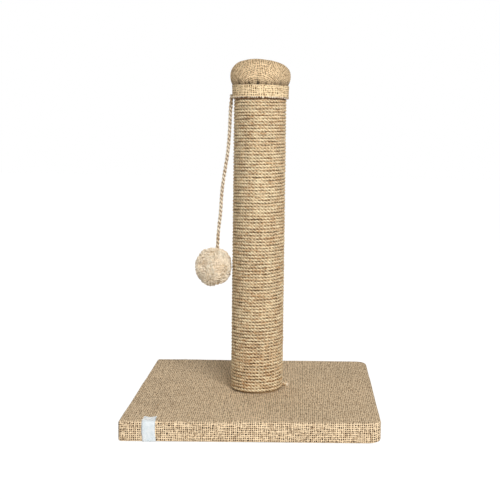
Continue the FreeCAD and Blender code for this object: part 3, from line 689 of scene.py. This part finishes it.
def on_ball(spot):
    """Where a point of a round ball lies on the real one, uneven and flat where it rests against the post."""
    uneven = 1 + BALL_UNEVEN * noise.noise(spot.normalized() * 1.7 + Vector((3, 9, 2)))
    x, y, z = (spot[n] * BALL_HALF[n] * uneven for n in range(3))
    if x > BALL_REST:
        x = BALL_REST + (x - BALL_REST) * 0.5
    return Vector((x, y, z)) + BALL_CENTRE


def spread_out(count):
    """Directions spread evenly over a ball."""
    for n in range(count):
        height = 1 - 2 * (n + 0.5) / count
        reach = math.sqrt(1 - height * height)
        turn = n * math.pi * (3 - math.sqrt(5))
        yield Vector((reach * math.cos(turn), reach * math.sin(turn), height))


def tuft(out):
    """The line of one tuft of yarn: out of the core, then over to a side."""
    swirl = Vector([noise.noise(out * 1.6 + Vector((5 + 20.3 * n, 1, 8))) for n in range(3)])
    lean = (swirl - out * swirl.dot(out)).normalized()
    lean = (lean + Vector([PLACES.uniform(-0.5, 0.5) for _ in range(3)])).normalized()
    long = PLACES.uniform(0.12, 0.26)
    top = PLACES.uniform(0.94, 1.02)
    line = []
    for k in range(TUFT_POINTS):
        share = k / (TUFT_POINTS - 1)
        rise = TUFT_ROOT + (top - TUFT_ROOT) * math.sin(share * math.pi * 0.6)
        spot = out * rise + lean * long * share * (0.6 + 0.4 * share)
        if spot.length > 1.0:
            spot = spot.normalized() * min(spot.length, top)
        line.append(on_ball(spot))
    return line


def make_ball():
    """A ball of combed yarn: a lumpy core and many short tufts that lie over in swirls."""
    bm = bmesh.new()
    bmesh.ops.create_icosphere(bm, subdivisions=4, radius=1.0)
    for v in bm.verts:
        v.co = on_ball(v.co * (BALL_CORE + 0.05 * noise.noise(v.co * 5.0)))
    core = piece("ball_core", mesh_from("ball_core", bm), "ball_yarn", "toy", ("pompom",))
    lines = [tuft(out) for out in spread_out(TUFTS)]
    tufts = strand_mesh("ball_tufts", lines, TUFT_RADIUS, 0, thinning=lambda share: 1.1 - 0.7 * share * share)
    return core, piece("ball_tufts", tufts, "ball_yarn", "toy", ("pompom",))


# ---------------------------------------------------------------- base cloth

BASE_HALF = 0.150
BASE_HEIGHT = 0.0235
HEM_INNER = 0.120
LEFT_CORNER = 0.004
RIGHT_CORNER = 0.016
TOP_EDGE = 0.003
FOOT_EDGE = 0.0019
CLOTH = 0.00075
GRID_STEP = 0.003
#: flat place of the hem under the base, so that its weave doesn't line up with the top's
HEM_SHIFT = (0.31, 0.17)


def down_the_side(x, y, z):
    """How far along the flat cloth a point of the sides lies, from the middle of the base."""
    corner = RIGHT_CORNER if x > 0 else LEFT_CORNER
    past = [abs(place) - (BASE_HALF - corner) for place in (x, y)]
    if min(past) > 0:
        outside = math.hypot(*past) - (corner - TOP_EDGE)
    else:
        outside = max(abs(x), abs(y)) - (BASE_HALF - TOP_EDGE)
    rise = z - (BASE_HEIGHT - TOP_EDGE)
    over = TOP_EDGE * math.atan2(max(outside, 0.0), rise) if rise > 0 else TOP_EDGE * math.pi / 2 - rise
    return BASE_HALF - TOP_EDGE + over


def lay_weave(bm, flat_of, name="weave"):
    """Writes the flat place of every corner of every face, in metres."""
    layer = bm.loops.layers.uv.new(name)
    for face in bm.faces:
        for loop in face.loops:
            loop[layer].uv = flat_of(face, loop.vert)


def base_flat(face, vert):
    """The flat place of a corner of one of the base's faces."""
    x, y, z = vert.co
    turn = face.normal
    if turn.z > 0.7:
        return x, y
    if turn.z < -0.7:
        return x + HEM_SHIFT[0], y + HEM_SHIFT[1]
    if abs(turn.y) >= abs(turn.x):
        return x, math.copysign(down_the_side(x, y, z), y)
    return math.copysign(down_the_side(x, y, z), x), y


def base_ripples(spot):
    """How far the cloth stands off the board: soft creases and a few pulled threads."""
    x, y, z = spot
    broad = noise.noise(Vector((x * 14, y * 22, z * 20)))
    fine = noise.noise(Vector((x * 90, y * 160, z * 120)))
    return broad * 0.00035 + fine * 0.00012


def round_edges(bm, edges, radius, steps):
    bmesh.ops.bevel(bm, geom=edges, offset=radius, segments=steps, profile=0.5, affect="EDGES", material=-1)


def rounded_slab():
    """The base's outer form, with its rounded corners and edges."""
    bm = bmesh.new()
    bmesh.ops.create_cube(bm, size=1.0)
    bmesh.ops.scale(bm, vec=(BASE_HALF * 2, BASE_HALF * 2, BASE_HEIGHT), verts=bm.verts)
    bmesh.ops.translate(bm, vec=(0, 0, BASE_HEIGHT / 2), verts=bm.verts)
    for side, radius, steps in ((-1, LEFT_CORNER, 4), (1, RIGHT_CORNER, 8)):
        upright = [
            e for e in bm.edges
            if all(v.co.x * side > 0 for v in e.verts) and abs(e.verts[0].co.z - e.verts[1].co.z) > 0.01
        ]
        round_edges(bm, upright, radius, steps)
    for height, radius, steps in ((BASE_HEIGHT, TOP_EDGE, 4), (0.0, FOOT_EDGE, 2)):
        rim = [e for e in bm.edges if all(abs(v.co.z - height) < 1e-6 for v in e.verts)]
        round_edges(bm, rim, radius, steps)
    return bm


def turn_hem_under(bm):
    """Opens the underside and draws its rim inwards as the hem."""
    under = [f for f in bm.faces if f.normal.z < -0.99 and f.calc_area() > 0.01]
    bmesh.ops.delete(bm, geom=under, context="FACES_ONLY")
    rim = [e for e in bm.edges if e.is_boundary]
    hem = bmesh.ops.extrude_edge_only(bm, edges=rim)["geom"]
    for v in (g for g in hem if isinstance(g, bmesh.types.BMVert)):
        v.co.x = math.copysign(HEM_INNER, v.co.x) if abs(v.co.x) > HEM_INNER else v.co.x
        v.co.y = math.copysign(HEM_INNER, v.co.y) if abs(v.co.y) > HEM_INNER else v.co.y
    bmesh.ops.remove_doubles(bm, verts=bm.verts, dist=1e-6)


def cut_across(bm, place, direction):
    everything = bm.verts[:] + bm.edges[:] + bm.faces[:]
    bmesh.ops.bisect_plane(bm, geom=everything, plane_co=place, plane_no=direction, dist=1e-6)


def make_base():
    """The burlap round the base, rippled a little, as one sheet."""
    bm = rounded_slab()
    turn_hem_under(bm)
    count = round(BASE_HALF / GRID_STEP)
    for axis in (Vector((1, 0, 0)), Vector((0, 1, 0))):
        for n in range(-count + 1, count):
            cut_across(bm, axis * n * GRID_STEP, axis)
    for n in range(1, 7):
        cut_across(bm, (0, 0, n * GRID_STEP + 0.0005), (0, 0, 1))
    bmesh.ops.recalc_face_normals(bm, faces=bm.faces)
    bm.normal_update()
    lay_weave(bm, base_flat)
    for v in bm.verts:
        if v.co.z > 0.0005:
            v.co += v.normal * base_ripples(v.co)
    cloth = piece("base_cloth", mesh_from("base_cloth", bm), "base_burlap", instead_of=("base_cover",))
    thicken(cloth, CLOTH)


# ---------------------------------------------------------------- side label

LABEL_MIDDLE = -0.1155
LABEL_WIDTH = 0.0152
LABEL_THICKNESS = 0.00025
LABEL_STRIPS = 8
#: how far the middle of the ribbon's upper end stands back from its corners, and over how many rows
LABEL_NOTCH = 0.0042
NOTCH_ROWS = 8
#: how far the ribbon strays to the right at its foot, and the heights between which it does
LABEL_SWAY = 0.0010
SWAY_HEIGHTS = (0.001, 0.012)
LABEL_CURL = 0.0005
CURL_ROWS = 20
#: (y, z) from the ribbon's end on the top, over the front edge, to its foot
LABEL_PROFILE = (
    (-0.1315, BASE_HEIGHT + 0.0006), (-0.1385, BASE_HEIGHT + 0.0008), (-0.1455, BASE_HEIGHT + 0.0007),
    (-0.1482, BASE_HEIGHT + 0.0002), (-0.1499, BASE_HEIGHT - 0.0012), (-0.15045, BASE_HEIGHT - 0.0042),
    (-0.1507, 0.014), (-0.1508, 0.0075), (-0.1508, 0.0022), (-0.1500, 0.0002),
)


def make_label():
    """A blank ribbon folded over the base's front edge, its lower end under the base."""
    line = spline_points([(0, y, z) for y, z in LABEL_PROFILE], 6)
    bm = bmesh.new()
    bmesh.ops.create_grid(bm, x_segments=LABEL_STRIPS, y_segments=len(line) - 1, size=0.5)
    lengths = [0.0]
    for a, b in zip(line, line[1:]):
        lengths.append(lengths[-1] + (b - a).length)
    layer = bm.loops.layers.uv.new("weave")
    for v in bm.verts:
        row = min(range(len(line)), key=lambda n: abs((v.co.y + 0.5) * (len(line) - 1) - n))
        side = v.co.x
        spot = line[row]
        notch = LABEL_NOTCH * (1 - abs(side) * 2) * max(0.0, 1 - row / NOTCH_ROWS)
        sway = LABEL_SWAY * (1 - ease(spot.z, *SWAY_HEIGHTS))
        curl = LABEL_CURL * math.sin(row * 0.35) * side * 2 if row < CURL_ROWS else 0.0
        v.co = Vector((LABEL_MIDDLE + side * LABEL_WIDTH + sway, spot.y - notch, spot.z + curl))
        for loop in v.link_loops:
            loop[layer].uv = (side * LABEL_WIDTH, lengths[row])
    bmesh.ops.recalc_face_normals(bm, faces=bm.faces)
    label = piece("side_ribbon", mesh_from("side_ribbon", bm), "ribbon", instead_of=("side_label",))
    thicken(label, LABEL_THICKNESS, 0.0)


# ---------------------------------------------------------------- cap

#: (radius, height) from the cap's top to its skirt's foot under the band
CAP_PROFILE = (
    (0.0, 0.4440), (0.006, 0.44385), (0.012, 0.4434), (0.018, 0.4426), (0.024, 0.4412), (0.029, 0.4391),
    (0.0330, 0.4358), (0.0362, 0.4312), (0.0379, 0.4260), (0.0382, 0.4205), (0.0374, 0.4157),
    (0.0357, 0.4124), (0.0346, 0.4100), (0.0344, 0.4060), (0.0341, 0.4010), (0.0340, 0.3966),
)
CAP_STEPS = 216
PAD_STEPS = 72
GATHER_FOOT = 0.4115
#: how much of a gather's depth is left under the band
GATHER_UNDER_BAND = 0.35
#: the creases that show from the front: angle from the front, towards the right, in degrees; depth;
#: half width in degrees; height that it reaches
CAP_CREASES = (
    (-46, 0.0014, 4.5, 0.428),
    (-29, 0.0011, 3.5, 0.4205),
    (-21, 0.0008, 3.0, 0.4185),
    (-3, 0.0010, 4.0, 0.4225),
    (12, 0.0009, 3.5, 0.4195),
    (24, 0.0009, 3.0, 0.4185),
    (47, 0.0012, 4.5, 0.424),
)
#: the cap's top falls by this much from its middle to its right-hand side
CAP_LEAN = 0.0017
PAD_GAP = 0.0019
PAD_GAP_AT_BAND = 0.0024
PAD_FOOT = 0.4102


def spun(points, steps):
    """A surface turned round the post's axis from a profile of (radius, height)."""
    bm = bmesh.new()
    verts = [bm.verts.new((r, 0, z)) for r, z in points]
    edges = [bm.edges.new(pair) for pair in zip(verts, verts[1:])]
    bmesh.ops.spin(bm, geom=verts + edges, axis=(0, 0, 1), cent=(0, 0, 0), angle=2 * math.pi,
                   steps=steps, use_merge=True)
    bmesh.ops.remove_doubles(bm, verts=bm.verts, dist=1e-6)
    bmesh.ops.recalc_face_normals(bm, faces=bm.faces)
    return bm


def cap_gathers():
    """Small gathers all round above the band, and the creases that show.

    Each is its angle, depth, half width and the height that it reaches.
    """
    gathers = []
    turn = -math.pi
    while turn < math.pi - 0.12:
        depth, width = PLACES.uniform(0.0006, 0.0013), PLACES.uniform(0.035, 0.06)
        gathers.append((turn, depth, width, PLACES.uniform(0.416, 0.4225)))
        turn += PLACES.uniform(0.24, 0.38)
    for turn, depth, width, top in CAP_CREASES:
        gathers.append((math.radians(turn), depth, math.radians(width), top))
    return gathers


def gathered_in(gathers, angle, height):
    """How far the gathers draw the cloth inwards there."""
    inward = 0.0
    for where, depth, width, top in gathers:
        apart = (angle - where + math.pi) % (2 * math.pi) - math.pi
        if abs(apart) < 3 * width and height < top:
            tall = min(1.0, (top - height) / (top - GATHER_FOOT + 1e-9))
            fold, swell = math.exp(-(apart / width) ** 2), math.exp(-(apart / width / 1.8) ** 2)
            inward += depth * fold * tall - 0.3 * depth * swell * tall
    return inward


def lay_flat_from_top(bm, line):
    """Writes the flat place of every point of the cap: as far from its middle as the cloth runs."""
    runs = [0.0]
    for (r0, z0), (r1, z1) in zip(line, line[1:]):
        runs.append(runs[-1] + math.hypot(r1 - r0, z1 - z0))
    run_at = {round(z, 6): run for (r, z), run in zip(line, runs)}
    layer = bm.loops.layers.uv.new("weave")
    for v in bm.verts:
        radius = math.hypot(v.co.x, v.co.y)
        run = run_at[min(run_at, key=lambda z: abs(z - v.co.z))]
        flat = Vector((v.co.x, v.co.y)) / max(radius, 1e-9) * run
        for loop in v.link_loops:
            loop[layer].uv = flat


def make_cap():
    """The cap's burlap, gathered in above the band, and the foam dome under it."""
    line = [(p.x, p.z) for p in spline_points([(r, 0, z) for r, z in CAP_PROFILE], 5)]
    bm = spun(line, CAP_STEPS)
    lay_flat_from_top(bm, line)
    gathers = cap_gathers()
    moves, painted_shades = {}, []
    for v in bm.verts:
        angle = math.atan2(v.co.x, -v.co.y)
        inward = gathered_in(gathers, angle, v.co.z)
        tight = 1.0 if v.co.z > GATHER_FOOT - 0.001 else GATHER_UNDER_BAND
        lumps = noise.noise(v.co * 60) * 0.0005 + noise.noise(v.co * 170) * 0.00018
        lean = CAP_LEAN * max(0.0, (v.co.x + 0.004) / 0.036) * max(0.0, (v.co.z - 0.428) / 0.012)
        out = Vector((v.co.x, v.co.y, 0))
        out = out.normalized() if out.length > 1e-6 else Vector()
        # painted shade in the gathers' creases and on the neck just above the band
        painted_shades.append(1.0 - 0.6 * ease(inward, 0.0002, 0.0012) - 0.3 * (1 - ease(v.co.z, 0.4118, 0.4185)))
        loose = 1.0 if v.co.z > GATHER_FOOT else 0.2
        moves[v] = out * (-inward * tight) + v.normal * lumps * loose - Vector((0, 0, lean))
    for v, move in moves.items():
        v.co += move
    mesh = mesh_from("cap_cloth", bm)
    mark(mesh, painted_shades, "shade")
    cap = piece("cap_cloth", mesh, "cap_burlap", instead_of=("cap_cover",))
    thicken(cap, CLOTH)
    inner = []
    for radius, height in line:
        if height > 0.4145:
            gap = PAD_GAP + PAD_GAP_AT_BAND * (1 - ease(height, 0.416, 0.426))
            inner.append((max(radius - gap, 0.0), height - PAD_GAP))
    inner += [(0.0325, PAD_FOOT), (0.0, PAD_FOOT)]
    dome = mesh_from("cap_padding", spun(inner, PAD_STEPS))
    pad = piece("cap_padding", dome, "foam", instead_of=("cap_pad",))


# ---------------------------------------------------------------- neck band

BAND_FOOT = 0.3957
BAND_TOP = 0.4104
#: angles from the right-hand side where the strip starts and, one turn further, ends
BAND_LAP = (math.radians(-32), math.radians(-6))
BAND_RADIUS = 0.03515
#: radius at which the strip's length is counted
BAND_MIDDLE = 0.0354
BAND_STEPS = 260
BAND_ROWS = 8


def make_band():
    """A strip of burlap pulled round the cap's neck, its end lapped over its start, with raw edges."""
    start = BAND_LAP[0]
    full = 2 * math.pi + BAND_LAP[1] - BAND_LAP[0]
    bm = bmesh.new()
    bmesh.ops.create_grid(bm, x_segments=BAND_STEPS, y_segments=BAND_ROWS, size=0.5)
    layer = bm.loops.layers.uv.new("weave")
    for v in bm.verts:
        share, rise = v.co.x + 0.5, v.co.y + 0.5
        angle = start + full * share
        lap = max(0.0, min(1.0, (share * full - 2 * math.pi + 0.10) / 0.08))
        uneven = noise.noise(Vector((math.cos(angle) * 3, math.sin(angle) * 3, rise * 2 + lap)))
        radius = BAND_RADIUS + 0.0005 * rise + 0.0008 * lap + 0.0003 * uneven
        edge = noise.noise(Vector((share * 40, rise * 3, 5.0))) * 0.0005 * abs(2 * rise - 1) ** 3
        height = BAND_FOOT + (BAND_TOP - BAND_FOOT) * rise + edge
        for loop in v.link_loops:
            loop[layer].uv = (share * full * BAND_MIDDLE, rise * (BAND_TOP - BAND_FOOT))
        v.co = round_post(angle, radius, height)
    bmesh.ops.recalc_face_normals(bm, faces=bm.faces)
    middles = [(face, face.calc_center_median()) for face in bm.faces]
    if sum(face.normal.dot(Vector((middle.x, middle.y, 0))) for face, middle in middles) < 0:
        bmesh.ops.reverse_faces(bm, faces=bm.faces)
    band = piece("neck_band", mesh_from("neck_band", bm), "band_burlap", instead_of=("cap_band",))
    thicken(band, CLOTH)


# ---------------------------------------------------------------- stray fibres


ROPE_HAIRS = 170
BAND_HAIRS = 90
BASE_HAIRS = 150
FRAY_STRANDS = 40
BAND_THREAD = 0.0026
HAIR_STEPS = (0, 0.33, 0.66, 1)
BASE_SIDES = (((0, -1), (1, 0)), ((1, 0), (0, 1)), ((0, 1), (-1, 0)), ((-1, 0), (0, -1)))


def pale_hairs(name, lines, radius, slot, rounds=0):
    """Hairs that thin towards their ends, without the painted groove shade."""
    mesh = strand_mesh(name, lines, radius, rounds, lambda s: 1.1 - 0.6 * s * s)
    mark(mesh, [1.0] * len(mesh.vertices), "depth")
    return piece(name, mesh, slot)


def outward_and_around(angle):
    """Two directions at a place on the post: away from its axis, and round it one way or the other."""
    out = round_post(angle, 1.0, 0)
    return out, Vector((-out.y, out.x, 0)) * PLACES.choice((-1, 1))


def rope_hair():
    angle, height = PLACES.uniform(-math.pi, math.pi), PLACES.uniform(0.027, 0.392)
    out, around = outward_and_around(angle)
    long, stand = PLACES.uniform(0.003, 0.008), PLACES.uniform(0.0004, 0.0022)
    drop = PLACES.uniform(-0.0015, 0.0015)
    start = round_post(angle, 0.0328, height)
    return [
        start + around * long * s + out * stand * math.sin(s * 2.6) + Vector((0, 0, drop * s * s))
        for s in HAIR_STEPS
    ]


def band_fringe():
    """The cut ends of the band's upright threads, along its lower edge."""
    lines = []
    ends = round(2 * math.pi * BAND_MIDDLE / BAND_THREAD)
    for n in range(ends):
        angle = (n + PLACES.uniform(-0.25, 0.25)) * 2 * math.pi / ends
        start = 0.0352 + PLACES.uniform(-0.0001, 0.0001)
        long, slip = PLACES.uniform(0.0008, 0.0019), PLACES.uniform(-0.02, 0.02)
        top = BAND_FOOT + 0.0008
        lines.append([
            round_post(angle + slip * s, start - 0.0004 * s * s, top - (0.0008 + long) * s)
            for s in (0, 0.5, 0.8, 1)
        ])
    return lines


def band_hair():
    angle = PLACES.uniform(-math.pi, math.pi)
    out, around = outward_and_around(angle)
    low = PLACES.random() < 0.7
    start = round_post(angle, 0.0355, BAND_FOOT + 0.0002 if low else BAND_TOP)
    long, drop = PLACES.uniform(0.002, 0.006), PLACES.uniform(-0.0016, 0.0002) * (1 if low else -0.5)
    return [
        start + around * long * s + out * 0.0004 * math.sin(s * 3) + Vector((0, 0, drop * s))
        for s in HAIR_STEPS
    ]


def tail_strand(line):
    """One of the strands that fray at the rope's loose end."""
    tip, ahead = line[0], (line[0] - line[1]).normalized()
    spread = Vector([PLACES.uniform(-1, 1) for _ in range(3)]).normalized() * PLACES.uniform(0.0006, 0.0021)
    end = tip + ahead * PLACES.uniform(0.0002, 0.0016) + spread
    return [line[5] + spread, line[3] + spread * 1.05, tip + spread * 1.05, end]


def base_hair():
    """A hair on the base's top or side, or nothing where it would stand past a rounded corner."""
    side, run = PLACES.randrange(4), PLACES.uniform(-0.145, 0.145)
    height = PLACES.choice((BASE_HEIGHT + 0.0002, PLACES.uniform(0.002, 0.022)))
    out, along = BASE_SIDES[side]
    inset = PLACES.uniform(0.0, 0.12) if height > BASE_HEIGHT else 0.0
    place = [out[n] * (BASE_HALF - inset) + along[n] * run for n in (0, 1)]
    start = Vector((*place, height))
    if max(abs(start.x), abs(start.y)) > 0.1502 or (start.x > 0.136 and abs(start.y) > 0.136):
        return None
    far = Vector((*along, 0)) * PLACES.uniform(-0.006, 0.006)
    lift = Vector((out[0] * 0.0005, out[1] * 0.0005, 0.0004)) * PLACES.uniform(0.3, 1.0)
    return [start + far * s + lift * math.sin(s * 3) for s in HAIR_STEPS]


def make_fibres():
    """Short jute hairs that stand off the rope, the band's raw edge and the base."""
    pale_hairs("rope_fibres", [rope_hair() for _ in range(ROPE_HAIRS)], 0.00011, "jute_rope")
    pale_hairs("band_fringe", band_fringe(), 0.00075, "cream_cord", 1)
    pale_hairs("band_fibres", [band_hair() for _ in range(BAND_HAIRS)], 0.00016, "cream_cord")
    line = rope_line()
    pale_hairs("tail_fray", [tail_strand(line) for _ in range(FRAY_STRANDS)], 0.00045, "ball_yarn")
    hairs = [base_hair() for _ in range(BASE_HAIRS)]
    pale_hairs("base_fibres", [hair for hair in hairs if hair], 0.00013, "jute_rope")


# ---------------------------------------------------------------- putting it together


def make_floor():
    """A pale floor that keeps the object's shadow and shows white behind it."""
    floor_finish = Finish("pale_floor")
    rays = floor_finish.node("ShaderNodeLightPath", out="Is Camera Ray")
    matt = floor_finish.node("ShaderNodeBsdfDiffuse", inputs={"Color": FLOOR_COLOUR})
    white = floor_finish.node("ShaderNodeEmission", inputs={"Color": WHITE, "Strength": FLOOR_GLOW})
    inputs = {0: rays * FLOOR_GLOW_SHARE, 1: matt, 2: white}
    floor_finish.node_output(floor_finish.node("ShaderNodeMixShader", inputs=inputs))
    bm = bmesh.new()
    bmesh.ops.create_grid(bm, x_segments=1, y_segments=1, size=FLOOR_HALF)
    bmesh.ops.translate(bm, vec=(0, 0, FLOOR_HEIGHT), verts=bm.verts)
    floor = link(bpy.data.objects.new("floor", mesh_from("floor", bm)))
    floor.data.materials.append(floor_finish.material)


def make_room():
    """White to the camera, and soft warm light to everything else."""
    world = bpy.data.worlds.new("room")
    bpy.context.scene.world = world
    world.use_nodes = True
    nodes, links = world.node_tree.nodes, world.node_tree.links
    nodes.clear()
    path = nodes.new("ShaderNodeLightPath")
    shown, lit = (nodes.new("ShaderNodeBackground") for _ in range(2))
    mixed = nodes.new("ShaderNodeMixShader")
    end = nodes.new("ShaderNodeOutputWorld")
    shown.inputs[0].default_value = WHITE
    shown.inputs[1].default_value = 1.0
    lit.inputs[0].default_value = ROOM_COLOUR
    lit.inputs[1].default_value = ROOM_STRENGTH
    links.new(path.outputs["Is Camera Ray"], mixed.inputs[0])
    links.new(lit.outputs[0], mixed.inputs[1])
    links.new(shown.outputs[0], mixed.inputs[2])
    links.new(mixed.outputs[0], end.inputs[0])


#: the solids that are carried over as they are, by their finish
DRESSED_SOLIDS = {
    "chipboard": ("base_board",),
    "tube_cardboard": ("post_tube",),
    "plug_wood": ("foot_plug", "head_plug"),
    "zinc_steel": ("centre_bolt", "bolt_washer", "insert_nut"),
    "staple_wire": ("hem_staples", "foot_staples", "head_staples", "cap_staples"),
}


def dress_cad_nodes():
    """Gives each carried-over solid the finish of its material slot."""
    for slot, names in DRESSED_SOLIDS.items():
        for name in names:
            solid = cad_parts[name]
            solid.data.materials.clear()
            solid.data.materials.append(FINISHES[slot])


make_camera()
for lamp_facts in LAMPS:
    soft_lamp(*lamp_facts)
make_floor()
make_room()
neck, hanging, free_line = make_cord()
knot = make_knot()
ball = make_ball()
make_rope()
make_base()
make_label()
make_cap()
make_band()
make_fibres()
dress_cad_nodes()

bpy.context.scene.view_settings.view_transform = "Standard"
